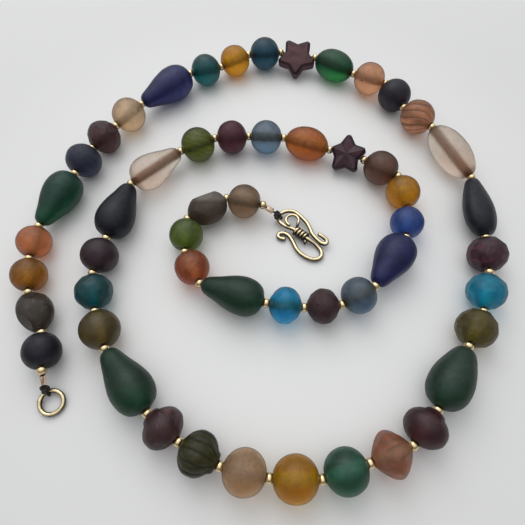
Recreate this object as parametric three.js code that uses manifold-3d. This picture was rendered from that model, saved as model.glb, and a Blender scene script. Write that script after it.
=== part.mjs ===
// A beaded necklace, undone and laid on a flat surface in an open spiral.
// Frosted glass beads sit on one black thread, with a small gold ball between each two.
// One end is tied to a soldered ring, the other to a bent wire hook.
// All lengths are in millimetres, +Z is up, and the surface is at z = 0.
import * as THREE from "three";
import { mergeVertices } from "three/addons/utils/BufferGeometryUtils.js";
import Module from "manifold-3d";

const wasm = await Module();
wasm.setup();

// Thread, bore and the gold balls between the beads
const THREAD_DIAMETER = 0.7;
const BORE_DIAMETER = 2.6;
const SPACER_DIAMETER = 3;
const SPACER_LENGTH = 2.5;
const BEAD_GAP = 1.9;
const SEAT_CLEARANCE = 0.3;

// Crimps, knots and the cord loops tied round the ring and the hook
const CRIMP_LENGTH = 2.6;
const CRIMP_WIDTH = 2.3;
const CRIMP_THICKNESS = 1.3;
const CRIMP_WALL = 0.25;
const KNOT_WIDTH = 2.3;
const KNOT_LENGTH = 2.6;
const LOOP_CLEARANCE = 0.2;

// The soldered ring
const RING_DIAMETER = 8;
const RING_WIRE_DIAMETER = 1.2;
const RING_TIE_ANGLE = THREE.MathUtils.degToRad(118);

// The hook's wire and the thinner wire wound round its shank
const HOOK_WIRE_DIAMETER = 1.3;
const WRAP_WIRE_DIAMETER = 1.05;
const WRAP_CLEARANCE = 0.12;
const WRAP_TURNS = 4.5;
const EYE_DIAMETER = 5.5;
const HOOK_TIE_INDEX = 15;

// Sides of the faceted solids
const BEAD_SIDES = 12;
const SPACER_SIDES = 8;
const WIRE_SIDES = 6;
const WRAP_SIDES = 5;
const ROUND_BANDS = 5;

// Rounds of settling the string on the surface, and how strongly it stays level meanwhile
const SETTLING_PASSES = 60;
const SETTLING_STEP = 0.5;
const LEVELLING_STEP = 0.03;

// Route of the string on the surface, from the ring's end to the hook's end: x, y.
const STRING_ROUTE = [
  [-64, -54], [-67.5, -42], [-74.5, -28.5], [-77, -16], [-76.5, -4], [-68, 17.5],
  [-64, 30], [-57, 41], [-30, 70], [-17.5, 74.5], [-6, 81.5], [7.5, 83],
  [22.5, 80], [38, 70], [50, 64], [56, 51], [65, 40], [76, 17],
  [75.5, -8.5], [69, -35], [61.5, -46.5], [41, -74], [29, -78.5], [16, -82.5],
  [-11, -79.5], [-32, -66], [-46.5, -48], [-55, -23], [-52.5, -10], [-47.5, 13],
  [-18, 34.5], [8, 34.5], [25, 30], [48.5, 17], [51, 4], [48.5, -8.5],
  [36.5, -26.5], [25.5, -33], [13.5, -34], [-20, -26], [-26, -1.5], [-12.5, 7.5],
  [0, 4],
];

// Middle of the ring's place, in the frame of the route above.
const RING_CENTRE = [-61.8, -62];

// The hook's wire, from the right tip round the upper loop to the shank: x, y, z.
const HOOK_UPPER_ROUTE = [
  [19.3, -5.4, 2.4], [21, -6.6, 2.3], [22.2, -7.8, 2.1], [22.1, -9.1, 1.9], [20.8, -8.9, 1.7],
  [18.8, -7, 1.7], [17.4, -4.9, 1.7], [16.7, -2.7, 1.7], [15.8, -0.6, 1.7], [14.4, 1.3, 1.7],
  [13, 2.9, 1.7], [11.5, 4.1, 1.7], [9.7, 4.5, 1.7], [7.9, 4.1, 1.7], [6.4, 3.1, 1.7],
  [5.8, 1.7, 1.7], [6.1, 0.2, 1.7], [7.1, -1.1, 1.8], [8.5, -2.1, 1.85], [10, -2.8, 1.9],
];
const HOOK_SHANK_START = [11.4, -3.6, 1.9];
const HOOK_SHANK_END = [15.6, -7, 1.9];
// From the shank round the lower loop to the left tip: x, y, z.
const HOOK_LOWER_ROUTE = [
  [16.9, -7.9, 1.6], [18.5, -8.9, 1], [19.7, -10.2, 0.7], [20.4, -11.8, 0.7], [20.2, -13.4, 0.7],
  [19.1, -14.4, 0.7], [17.4, -14.6, 0.7], [15.6, -14, 0.7], [13.5, -12.6, 0.7], [11.9, -10.6, 0.7],
  [10.9, -8.2, 0.7], [10, -6.2, 0.7], [8.9, -4.8, 0.7], [7.3, -4.1, 0.7], [5.9, -4.5, 0.7],
  [5.7, -5.7, 0.7], [6.8, -6.4, 0.7], [8.3, -6.6, 0.7],
];
const EYE_CENTRE = [10.6, -0.3, 3.1];
const WRAP_END = [14.7, -9.2, 1];

// Beads from the ring's end to the hook's end. length lies along the thread and width across it.
// turned beads point their fat end back along the thread. roll turns a bead about its bore.
const BEAD_COLUMNS = ["colour", "shape", "length", "width", "turned", "roll"];
const FACET_ROLL = 18;
const BEADS = [
  ["midnight", "round", 10.5, 11.5],
  ["smoke", "nugget", 13, 10.5, false, 180],
  ["amber_brown", "round", 10.5, 11.5],
  ["rust", "round", 10.5, 11.5],
  ["bottle_green", "teardrop", 21.5, 13],
  ["navy", "round", 11, 13],
  ["plum_brown", "faceted", 11.5, 13, false, FACET_ROLL],
  ["beige", "round", 12, 13],
  ["indigo", "teardrop", 23.5, 13.5],
  ["teal", "round", 11.5, 12.5],
  ["amber", "round", 11.5, 12.5],
  ["petrol", "round", 12, 13],
  ["maroon", "star", 13, 15.8, false, 27],
  ["emerald", "oval", 16.5, 12.5],
  ["peach", "round", 12, 13],
  ["aubergine", "round", 12, 13],
  ["umber", "melon", 12.5, 13],
  ["clear", "long", 23.5, 12.5],
  ["black_blue", "flat_teardrop", 23.5, 13, false, -35],
  ["wine", "faceted", 12, 13, false, FACET_ROLL],
  ["turquoise", "faceted", 11.5, 12.5, false, FACET_ROLL],
  ["olive", "faceted", 12, 12.5, false, FACET_ROLL],
  ["forest", "egg", 20, 13],
  ["dark_plum", "lantern", 10.5, 12.5],
  ["copper", "bicone", 11, 13],
  ["sea_green", "round", 11.5, 12.5],
  ["honey", "round", 12, 12.5],
  ["quartz", "round", 11.5, 12.5],
  ["dark_olive", "lantern", 11, 12.5],
  ["plum_brown", "lantern", 10, 12.5, true],
  ["forest", "teardrop", 21.5, 13, true],
  ["khaki", "round", 11.5, 12.5],
  ["deep_teal", "faceted", 11.5, 12, false, FACET_ROLL],
  ["dark_plum", "round", 11, 12.5],
  ["black_blue", "teardrop", 21.5, 13, true],
  ["clear", "teardrop", 20.5, 12.5, true],
  ["moss", "round", 12, 13],
  ["dark_plum", "round", 11, 12.5],
  ["slate_blue", "round", 11.5, 12.5],
  ["orange", "oval", 16, 12.5],
  ["purple", "star", 11.5, 14, true, 34],
  ["cocoa", "round", 12, 12.5],
  ["amber", "round", 11.5, 12],
  ["blue", "round", 10.5, 11.5],
  ["indigo", "teardrop", 20, 13, true],
  ["slate_blue", "round", 10.5, 12],
  ["plum_brown", "faceted", 10, 11.5, false, FACET_ROLL],
  ["bright_blue", "faceted", 10, 12, false, FACET_ROLL],
  ["forest", "teardrop", 20.5, 12.5, true],
  ["brick", "round", 11, 11.5],
  ["green", "round", 11, 11.5],
  ["cocoa", "nugget", 14, 11.2, false, 180],
  ["smoke", "round", 11, 12],
].map((row) => Object.fromEntries(BEAD_COLUMNS.map((column, i) => [column, row[i]])));

const GLASS_COLOURS = {
  midnight: 0x26232f,
  smoke: 0x6e5c4c,
  amber_brown: 0x7e5a1c,
  rust: 0x9a5f3c,
  bottle_green: 0x23402f,
  navy: 0x1e2133,
  plum_brown: 0x42302f,
  beige: 0xa68b6a,
  indigo: 0x242147,
  teal: 0x135a5e,
  amber: 0xa9731a,
  petrol: 0x1c4256,
  maroon: 0x4b2f33,
  emerald: 0x1e5a34,
  peach: 0xa0714e,
  aubergine: 0x2a2531,
  umber: 0x85604a,
  clear: 0xb8ac97,
  black_blue: 0x22262d,
  wine: 0x3a2227,
  turquoise: 0x12708c,
  olive: 0x4e4a26,
  forest: 0x1e3129,
  dark_plum: 0x3b2a31,
  copper: 0x7a5439,
  sea_green: 0x22564a,
  honey: 0x93691a,
  quartz: 0x8d7560,
  dark_olive: 0x34361f,
  khaki: 0x4a4227,
  deep_teal: 0x0f4246,
  moss: 0x4a5b22,
  slate_blue: 0x4f6374,
  orange: 0x9c5a2a,
  purple: 0x3a2a33,
  cocoa: 0x503a30,
  blue: 0x26427a,
  bright_blue: 0x12648c,
  brick: 0x7c4530,
  green: 0x3f6426,
};

// Outlines of the long and ribbed beads, as shares of the length and of half the width.
// The first and last point of each lie on the bore.
const OUTLINES = {
  teardrop: [
    [0, 0], [0.05, 0.4], [0.27, 0.66], [0.48, 0.9], [0.66, 1], [0.82, 0.9], [0.94, 0.62], [1, 0],
  ],
  egg: [
    [0, 0], [0.06, 0.48], [0.26, 0.8], [0.45, 0.96], [0.62, 1], [0.8, 0.9], [0.94, 0.62], [1, 0],
  ],
  lantern: [
    [0, 0], [0.02, 0.44], [0.12, 0.5], [0.17, 0.8], [0.36, 1], [0.64, 1], [0.88, 0.7], [1, 0],
  ],
  bicone: [
    [0, 0], [0.14, 0.58], [0.42, 1], [0.58, 1], [0.86, 0.58], [1, 0],
  ],
};
const BORE_MARGIN = 0.1;
const FLAT_TEARDROP_THICKNESS_SHARE = 0.73;
const NUGGET_LOBE = 0.08;
const MELON_GROOVE = 0.07;
const MELON_RIBS = 8;

// Star beads: shares of the bead's width.
const STAR_POINTS = 5;
const STAR_TIP_SHARE = 0.5;
const STAR_NOTCH_SHARE = 0.335;
const STAR_TIP_HALF_WIDTH_SHARE = 0.025;
const STAR_THICKNESS = 5.6;
const STAR_BEVEL = 0.9;
// Each star's bore runs past one tip at a small angle, and past the star's middle at centre.
// boredTip is how far that tip reaches, as a share of the others.
const STAR_BORES = {
  maroon: { skew: -13, centre: [-0.2, -1.5], boredTip: 1 },
  purple: { skew: -7.5, centre: [0, 0], boredTip: 0.82 },
};

const metal = (color, roughness) =>
  new THREE.MeshStandardMaterial({ color, roughness, metalness: 1 });
const frostedGlass = (color) =>
  new THREE.MeshStandardMaterial({ color, roughness: 0.6, metalness: 0 });
const MATERIALS = {
  thread: new THREE.MeshStandardMaterial({ color: 0x14130f, roughness: 0.85, metalness: 0 }),
  crimp: metal(0xc9987a, 0.35),
  antique: metal(0x9a8250, 0.4),
};

const necklace = new THREE.Group();
const vector = ([x, y, z = 0]) => new THREE.Vector3(x, y, z);

function addPiece(name, geometry, material) {
  const piece = new THREE.Mesh(geometry, material);
  piece.name = name;
  necklace.add(piece);
  return piece;
}

// A geometry as a solid for joining and cutting, and a solid as a geometry.
function solidOf(geometry) {
  const bare = geometry.clone();
  for (const name of ["normal", "uv"]) bare.deleteAttribute(name);
  const merged = mergeVertices(bare, 1e-4);
  return new wasm.Manifold(
    new wasm.Mesh({
      numProp: 3,
      vertProperties: new Float32Array(merged.attributes.position.array),
      triVerts: new Uint32Array(merged.index.array),
    }),
  );
}

function geometryOf(solid) {
  const mesh = solid.getMesh();
  return new THREE.BufferGeometry()
    .setAttribute("position", new THREE.BufferAttribute(mesh.vertProperties, 3))
    .setIndex(new THREE.BufferAttribute(mesh.triVerts, 1));
}

// A profile of [along, radius] points turned about the X axis. Its ends lie on the bore.
function turnedBead(profile, sides = BEAD_SIDES) {
  const points = [...profile, profile[0]].map(([along, radius]) => new THREE.Vector2(radius, along));
  return new THREE.LatheGeometry(points, sides).rotateZ(-Math.PI / 2);
}

// A flattened ball cut off at its bore.
function ballProfile(length, width, bands) {
  const halfBand = Math.PI / 2 / (bands + 1);
  const reach = width / 2 / Math.cos(halfBand);
  const start = Math.asin(BORE_DIAMETER / 2 / reach);
  return Array.from({ length: bands + 1 }, (_, i) => {
    const angle = start + ((Math.PI - 2 * start) * i) / bands;
    const radius = Math.min(reach * Math.sin(angle), width / 2);
    return [(-length / 2) * (Math.cos(angle) / Math.cos(start)), radius];
  });
}

const outlineProfile = (shape, length, width) =>
  OUTLINES[shape].map(([along, across]) => [
    (along - 0.5) * length,
    across === 0 ? BORE_DIAMETER / 2 : (across * width) / 2,
  ]);

// Moves each point of a bead outside its bore to a share of its distance, set by its angle.
function reshapeAcross(geometry, share) {
  const place = geometry.getAttribute("position");
  for (let i = 0; i < place.count; i++) {
    const radius = Math.hypot(place.getY(i), place.getZ(i));
    if (radius < BORE_DIAMETER / 2 + BORE_MARGIN) continue;
    const scale = share(Math.atan2(place.getZ(i), place.getY(i)));
    place.setY(i, place.getY(i) * scale);
    place.setZ(i, place.getZ(i) * scale);
  }
  return geometry;
}

// A flattened bead keeps its width, and its top and bottom come in.
function flatten(geometry, share) {
  const place = geometry.getAttribute("position");
  for (let i = 0; i < place.count; i++) {
    const radius = Math.hypot(place.getY(i), place.getZ(i));
    if (radius < BORE_DIAMETER / 2 + BORE_MARGIN) continue;
    place.setZ(i, place.getZ(i) * share);
  }
  return geometry;
}

// A star lying flat, one tip near +X. The bore runs along X out of the side of that tip.
function starBead(colour, length, width) {
  const { skew, centre, boredTip } = STAR_BORES[colour];
  const reach = width * STAR_TIP_SHARE - STAR_BEVEL;
  const notch = width * STAR_NOTCH_SHARE - STAR_BEVEL;
  const half = width * STAR_TIP_HALF_WIDTH_SHARE;
  const step = (Math.PI * 2) / STAR_POINTS;
  const outline = [];
  for (let i = 0; i < STAR_POINTS; i++) {
    const tip = i === 0 ? reach * boredTip : reach;
    const around = (angle, x, y) =>
      outline.push(new THREE.Vector2(x, y).rotateAround(new THREE.Vector2(), angle));
    around(i * step, tip - half / 2, -half);
    around(i * step, tip, -half / 2);
    around(i * step, tip, half / 2);
    around(i * step, tip - half / 2, half);
    around((i + 0.5) * step, notch, -half / 2);
    around((i + 0.5) * step, notch, half / 2);
  }
  const slab = new THREE.ExtrudeGeometry(new THREE.Shape(outline), {
    depth: STAR_THICKNESS - 2 * STAR_BEVEL,
    bevelThickness: STAR_BEVEL,
    bevelSize: STAR_BEVEL,
    bevelSegments: 1,
    steps: 1,
  });
  slab.rotateZ(THREE.MathUtils.degToRad(skew));
  slab.translate(centre[0], centre[1], STAR_BEVEL - STAR_THICKNESS / 2);
  const drill = (diameter, middle) =>
    solidOf(
      new THREE.CylinderGeometry(diameter / 2, diameter / 2, length, BEAD_SIDES)
        .rotateZ(Math.PI / 2)
        .translate(middle, 0, 0),
    );
  const seat = SPACER_DIAMETER + 2 * SEAT_CLEARANCE;
  return geometryOf(
    solidOf(slab)
      .subtract(drill(BORE_DIAMETER, 0))
      .subtract(drill(seat, length))
      .subtract(drill(seat, -length)),
  );
}

// The geometry of a bead about its own middle, with the bore along X.
const SHAPES = {
  round: ({ length, width }) => turnedBead(ballProfile(length, width, ROUND_BANDS)),
  faceted: ({ length, width }) => turnedBead(ballProfile(length, width, ROUND_BANDS), 10),
  oval: ({ length, width }) => turnedBead(ballProfile(length, width, ROUND_BANDS + 1)),
  long: ({ length, width }) => turnedBead(ballProfile(length, width, ROUND_BANDS + 2)),
  teardrop: ({ length, width }) => turnedBead(outlineProfile("teardrop", length, width)),
  egg: ({ length, width }) => turnedBead(outlineProfile("egg", length, width)),
  lantern: ({ length, width }) => turnedBead(outlineProfile("lantern", length, width)),
  bicone: ({ length, width }) => turnedBead(outlineProfile("bicone", length, width), 10),
  flat_teardrop: ({ length, width }) =>
    flatten(
      turnedBead(outlineProfile("egg", length, width)),
      FLAT_TEARDROP_THICKNESS_SHARE,
    ),
  nugget: ({ length, width }) =>
    reshapeAcross(
      turnedBead(ballProfile(length, width, ROUND_BANDS)),
      (angle) => 1 + NUGGET_LOBE * Math.cos(3 * angle),
    ),
  melon: ({ length, width }) =>
    reshapeAcross(
      turnedBead(ballProfile(length, width, ROUND_BANDS), MELON_RIBS * 2),
      (angle) => 1 - MELON_GROOVE * (Math.round((angle / Math.PI) * MELON_RIBS) % 2 ? 1 : 0),
    ),
  star: ({ colour, length, width }) => starBead(colour, length, width),
};

// Each bead's solid about its own middle, turned and rolled.
function makeBead(row) {
  const geometry = SHAPES[row.shape](row);
  if (row.turned) geometry.rotateZ(Math.PI);
  geometry.rotateX(THREE.MathUtils.degToRad(row.roll ?? 0));
  return { ...row, geometry };
}

// How far the lowest point of a sloping bead lies under its middle, and how far along the bead.
function lowestPoint({ geometry, length }, slope) {
  const place = geometry.getAttribute("position");
  const [rise, run] = [Math.sin(slope), Math.cos(slope)];
  let drop = 0;
  let share = 0.5;
  for (let i = 0; i < place.count; i++) {
    const depth = -(place.getZ(i) * run + place.getX(i) * rise);
    if (depth <= drop) continue;
    drop = depth;
    share = place.getX(i) / length + 0.5;
  }
  return { drop, share };
}

// Close points along the route, scaled, with its end drawn out straight past the last one.
function routeSpots(scale) {
  const points = STRING_ROUTE.map((point) => vector(point).multiplyScalar(scale));
  const curve = new THREE.CatmullRomCurve3(points);
  const spots = curve.getPoints(points.length * 40);
  spots.push(curve.getPoint(1).addScaledVector(curve.getTangent(1), spots[0].distanceTo(points[9])));
  return spots;
}

// Steps along a line of close points, each step a straight chord of the given length.
function walkChords(spots, chords) {
  const found = [spots[0].clone()];
  let from = 0;
  for (const chord of chords) {
    const start = found[found.length - 1];
    let next = from + 1;
    while (next < spots.length - 1 && spots[next].distanceTo(start) < chord) next += 1;
    const before = spots[next - 1];
    const near = before.distanceTo(start);
    const far = spots[next].distanceTo(start);
    found.push(before.clone().lerp(spots[next], (chord - near) / (far - near)));
    from = next - 1;
  }
  return found;
}

// The junctions between beads, where the gold balls sit: one chord for each bead on the route.
// The route is drawn larger or smaller until the beads fill it to its end.
function layJunctions(beads) {
  const chords = beads.map((bead) => bead.length + BEAD_GAP);
  const total = chords.reduce((sum, chord) => sum + chord, 0);
  const drawn = routeSpots(1);
  const walked = walkChords(drawn, chords);
  const last = walked[walked.length - 1];
  const towards = last.clone().sub(walked[walked.length - 2]).normalize();
  const left = drawn[drawn.length - 2].clone().sub(last).dot(towards);
  return walkChords(routeSpots(total / (total + left)), chords);
}

// Gives each junction a height at which the beads on both sides rest on the surface.
function settle(junctions, beads) {
  const last = beads.length - 1;
  const drops = beads.map((bead) => lowestPoint(bead, 0).drop);
  junctions.forEach((junction, i) => {
    junction.z = (drops[Math.max(i - 1, 0)] + drops[Math.min(i, last)]) / 2;
  });
  for (let pass = 0; pass < SETTLING_PASSES; pass++) {
    beads.forEach((bead, i) => {
      const [start, end] = [junctions[i], junctions[i + 1]];
      const slope = Math.asin((end.z - start.z) / (bead.length + BEAD_GAP));
      const { drop, share } = lowestPoint(bead, slope);
      const lift = (drop - (start.z + end.z) / 2) * SETTLING_STEP;
      start.z += lift * (1.5 - share);
      end.z += lift * (0.5 + share);
    });
    for (let i = 1; i < last + 1; i++) {
      const level = (junctions[i - 1].z + junctions[i + 1].z) / 2;
      junctions[i].z = THREE.MathUtils.lerp(junctions[i].z, level, LEVELLING_STEP);
    }
  }
}

// Places a bead's mesh with its bore along the chord between its two junctions.
function placeBead(bead, index, start, end) {
  const number = String(index + 1).padStart(2, "0");
  const name = `bead_${number}_${bead.colour}_${bead.shape}`;
  const piece = addPiece(name, bead.geometry, frostedGlass(GLASS_COLOURS[bead.colour]));
  const along = end.clone().sub(start).normalize();
  const across = new THREE.Vector3(0, 0, 1).cross(along).normalize();
  const up = along.clone().cross(across);
  piece.quaternion.setFromRotationMatrix(new THREE.Matrix4().makeBasis(along, across, up));
  piece.position.copy(start).add(end).multiplyScalar(0.5);
}

// A closed tube whose radius may change from ring to ring. No ring may face straight up.
function tubeOfRings(rings, sides) {
  const places = [];
  const faces = [];
  rings.forEach(({ centre, along, radius }, ring) => {
    const across = new THREE.Vector3(0, 0, 1).cross(along).normalize();
    const up = along.clone().cross(across);
    for (let i = 0; i < sides; i++) {
      const angle = (2 * Math.PI * i) / sides;
      const spot = centre
        .clone()
        .addScaledVector(across, radius * Math.cos(angle))
        .addScaledVector(up, radius * Math.sin(angle));
      places.push(spot.x, spot.y, spot.z);
      if (ring === 0) continue;
      const [a, b] = [(ring - 1) * sides + i, (ring - 1) * sides + ((i + 1) % sides)];
      faces.push(a, b, b + sides, a, b + sides, a + sides);
    }
  });
  const last = (rings.length - 1) * sides;
  for (let i = 1; i < sides - 1; i++) faces.push(0, i + 1, i, last, last + i, last + i + 1);
  return new THREE.BufferGeometry()
    .setAttribute("position", new THREE.Float32BufferAttribute(places, 3))
    .setIndex(faces);
}

// The four rings of one gold ball, round a point of the thread.
const SPACER_RINGS = [
  { along: -0.5, across: THREAD_DIAMETER },
  { along: -0.24, across: SPACER_DIAMETER * 0.95 },
  { along: 0.24, across: SPACER_DIAMETER * 0.95 },
  { along: 0.5, across: THREAD_DIAMETER },
];

function spacerRings(centre, along) {
  return SPACER_RINGS.map((ring) => ({
    centre: centre.clone().addScaledVector(along, ring.along * SPACER_LENGTH),
    along,
    radius: ring.across / 2,
  }));
}

// The tie at one end: the point on the wire, the loop round that wire and the knot above it.
function makeTie(wirePoint, wireAlong, wireDiameter, outwards) {
  const loopRadius = wireDiameter / 2 + LOOP_CLEARANCE + THREAD_DIAMETER / 2;
  const loop = new THREE.TorusGeometry(loopRadius, THREAD_DIAMETER / 2, WIRE_SIDES, 14);
  const turn = new THREE.Quaternion().setFromUnitVectors(new THREE.Vector3(0, 0, 1), wireAlong);
  loop.applyQuaternion(turn).translate(wirePoint.x, wirePoint.y, wirePoint.z);
  const lift = wireDiameter / 2 + LOOP_CLEARANCE + KNOT_WIDTH / 2;
  const knotCentre = wirePoint
    .clone()
    .addScaledVector(new THREE.Vector3(outwards.x * 0.2, outwards.y * 0.2, 0.98), lift);
  const knot = new THREE.SphereGeometry(KNOT_WIDTH / 2, SPACER_SIDES, 6)
    .scale(KNOT_LENGTH / KNOT_WIDTH, 1, 1)
    .rotateZ(Math.atan2(outwards.y, outwards.x))
    .translate(knotCentre.x, knotCentre.y, knotCentre.z);
  return { loop, knot, knotCentre };
}

// A crimp: a flattened tube round the thread between the last ball and the knot.
function addCrimp(name, ball, knotCentre, roll) {
  const along = knotCentre.clone().sub(ball).normalize();
  const room = knotCentre.distanceTo(ball) - SPACER_LENGTH / 2 - KNOT_LENGTH / 2;
  const middle = ball.clone().addScaledVector(along, SPACER_LENGTH / 2 + room / 2);
  const oval = (width, height) => {
    const flat = (width - height) / 2;
    const shape = new THREE.Shape();
    shape.moveTo(-flat, -height / 2).lineTo(flat, -height / 2);
    shape.absarc(flat, 0, height / 2, -Math.PI / 2, Math.PI / 2);
    shape.lineTo(-flat, height / 2);
    shape.absarc(-flat, 0, height / 2, Math.PI / 2, (3 * Math.PI) / 2);
    return shape;
  };
  const section = oval(CRIMP_WIDTH, CRIMP_THICKNESS);
  section.holes.push(oval(CRIMP_WIDTH - 2 * CRIMP_WALL, CRIMP_THICKNESS - 2 * CRIMP_WALL));
  const tube = new THREE.ExtrudeGeometry(section, {
    depth: CRIMP_LENGTH, bevelEnabled: false, steps: 1, curveSegments: 5,
  }).translate(0, 0, -CRIMP_LENGTH / 2);
  const piece = addPiece(name, tube, MATERIALS.crimp);
  const across = new THREE.Vector3(0, 0, 1).cross(along).normalize();
  const up = along.clone().cross(across);
  const frame = new THREE.Matrix4().makeBasis(across, up, along);
  piece.quaternion.setFromRotationMatrix(frame);
  piece.rotateZ(roll);
  piece.position.copy(middle);
}

// The ring lies on the surface on its far side, and the cord loop lifts its tied side.
function addRing(shift) {
  const radius = (RING_DIAMETER - RING_WIRE_DIAMETER) / 2;
  const loopDrop = RING_WIRE_DIAMETER / 2 + LOOP_CLEARANCE + THREAD_DIAMETER;
  const tiedHeight = loopDrop + 0.05;
  const freeHeight = RING_WIRE_DIAMETER / 2;
  const tilt = Math.asin((tiedHeight - freeHeight) / (2 * radius));
  const outwards = new THREE.Vector3(Math.cos(RING_TIE_ANGLE), Math.sin(RING_TIE_ANGLE), 0);
  const piece = addPiece(
    "ring",
    new THREE.TorusGeometry(radius, RING_WIRE_DIAMETER / 2, WIRE_SIDES, 22),
    MATERIALS.antique,
  );
  piece.rotation.set(0, -tilt, RING_TIE_ANGLE, "ZYX");
  piece.position.copy(vector(RING_CENTRE)).add(shift);
  piece.position.z = (tiedHeight + freeHeight) / 2;
  const wirePoint = piece.position
    .clone()
    .addScaledVector(outwards, radius * Math.cos(tilt))
    .add(new THREE.Vector3(0, 0, radius * Math.sin(tilt)));
  const wireAlong = new THREE.Vector3(-outwards.y, outwards.x, 0);
  return makeTie(wirePoint, wireAlong, RING_WIRE_DIAMETER, outwards);
}

// A wire of one thickness along a smooth curve through the given points.
function wireGeometry(points, diameter, sides, steps) {
  const curve = new THREE.CatmullRomCurve3(points, false, "centripetal");
  const section = new THREE.Shape(
    Array.from({ length: sides }, (_, i) => {
      const angle = (2 * Math.PI * i) / sides;
      return new THREE.Vector2(Math.cos(angle), Math.sin(angle)).multiplyScalar(diameter / 2);
    }),
  );
  return new THREE.ExtrudeGeometry(section, { extrudePath: curve, steps });
}

function addHook(shift) {
  const placed = (point) => vector(point).add(shift);
  const shank = [placed(HOOK_SHANK_START), placed(HOOK_SHANK_END)];
  const middle = shank[0].clone().lerp(shank[1], 0.5);
  const upper = HOOK_UPPER_ROUTE.map(placed);
  const route = [...upper, shank[0], middle, shank[1], ...HOOK_LOWER_ROUTE.map(placed)];
  addPiece(
    "s_hook",
    wireGeometry(route, HOOK_WIRE_DIAMETER, WIRE_SIDES, 84),
    MATERIALS.antique,
  );
  const wirePoint = upper[HOOK_TIE_INDEX].clone();
  const wireAlong = upper[HOOK_TIE_INDEX + 1].clone().sub(upper[HOOK_TIE_INDEX - 1]).normalize();
  const outwards = new THREE.Vector3(wireAlong.y, -wireAlong.x, 0).normalize();
  return makeTie(wirePoint, wireAlong, HOOK_WIRE_DIAMETER, outwards);
}

// The wrap wire starts as a round eye above the upper loop and winds down the shank.
function addWrapWire(shift) {
  const placed = (point) => vector(point).add(shift);
  const start = placed(HOOK_SHANK_START);
  const end = placed(HOOK_SHANK_END);
  const along = end.clone().sub(start).normalize();
  const up = new THREE.Vector3(0, 0, 1);
  const side = up.clone().cross(along);
  const centre = placed(EYE_CENTRE);
  const eyeRadius = (EYE_DIAMETER - WRAP_WIRE_DIAMETER) / 2;
  const points = [];
  const eyeSteps = 11;
  const [eyeStart, eyeEnd] = [250, -25].map(THREE.MathUtils.degToRad);
  for (let i = 0; i <= eyeSteps; i++) {
    const angle = THREE.MathUtils.lerp(eyeStart, eyeEnd, i / eyeSteps);
    const outwards = new THREE.Vector3(Math.cos(angle), Math.sin(angle), 0);
    points.push(centre.clone().addScaledVector(outwards, eyeRadius));
  }
  const coilRadius = HOOK_WIRE_DIAMETER / 2 + WRAP_CLEARANCE + WRAP_WIRE_DIAMETER / 2;
  const coilSteps = 9;
  const steps = Math.round(WRAP_TURNS * coilSteps);
  for (let i = 0; i <= steps; i++) {
    const angle = (2 * Math.PI * i) / coilSteps;
    points.push(
      start
        .clone()
        .lerp(end, i / steps)
        .addScaledVector(side, coilRadius * Math.cos(angle))
        .addScaledVector(up, -coilRadius * Math.sin(angle)),
    );
  }
  points.push(placed(WRAP_END));
  addPiece(
    "wrap_wire",
    wireGeometry(points, WRAP_WIRE_DIAMETER, WRAP_SIDES, 88),
    MATERIALS.antique,
  );
}

// The thread with its balls, from one knot through every bead to the other, as one solid.
function addString(junctions, ringTie, hookTie) {
  const last = junctions.length - 1;
  const before = (i) => (i === 0 ? ringTie.knotCentre : junctions[i - 1]);
  const after = (i) => (i === last ? hookTie.knotCentre : junctions[i + 1]);
  const rings = junctions.flatMap((junction, i) => {
    const arriving = junction.clone().sub(before(i)).normalize();
    const leaving = after(i).clone().sub(junction).normalize();
    const towards = i === 0 ? arriving : i === last ? leaving : arriving.add(leaving);
    return spacerRings(junction, towards.normalize());
  });
  const tail = (from, to) => {
    const along = to.clone().sub(from).normalize();
    return { centre: to.clone(), along, radius: THREAD_DIAMETER / 2 };
  };
  const first = tail(junctions[0], ringTie.knotCentre);
  first.along.negate();
  rings.unshift(first);
  rings.push(tail(junctions[last], hookTie.knotCentre));
  const pieces = [ringTie.loop, ringTie.knot, hookTie.loop, hookTie.knot].map(solidOf);
  const joined = pieces.reduce(
    (sum, piece) => sum.add(piece),
    solidOf(tubeOfRings(rings, SPACER_SIDES)),
  );
  addPiece("string", geometryOf(joined), MATERIALS.thread);
}

const beads = BEADS.map(makeBead);
const junctions = layJunctions(beads);
settle(junctions, beads);
beads.forEach((bead, i) => placeBead(bead, i, junctions[i], junctions[i + 1]));
const firstBall = junctions[0];
const lastBall = junctions[junctions.length - 1];
const ringTie = addRing(firstBall.clone().sub(vector(STRING_ROUTE[0])).setZ(0));
const hookShift = lastBall.clone().sub(vector(STRING_ROUTE[STRING_ROUTE.length - 1])).setZ(0);
const hookTie = addHook(hookShift);
addWrapWire(hookShift);
addString(junctions, ringTie, hookTie);
addCrimp("crimp_ring_end", firstBall, ringTie.knotCentre, Math.PI / 2);
addCrimp("crimp_hook_end", lastBall, hookTie.knotCentre, 0);

// The origin is the middle of the footprint, on the surface.
const extent = new THREE.Box3().setFromObject(necklace, true);
const middle = extent.getCenter(new THREE.Vector3());
necklace.position.set(-middle.x, -middle.y, -extent.min.z);

export default necklace;
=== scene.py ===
"""Dresses the opened bead necklace: frosted glass beads on a black thread, gold balls between them,
and a wire hook and a soldered ring at the ends. It lies on a pale surface."""

import math

import bpy
import bmesh
from mathutils import Matrix, Vector, noise


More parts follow.
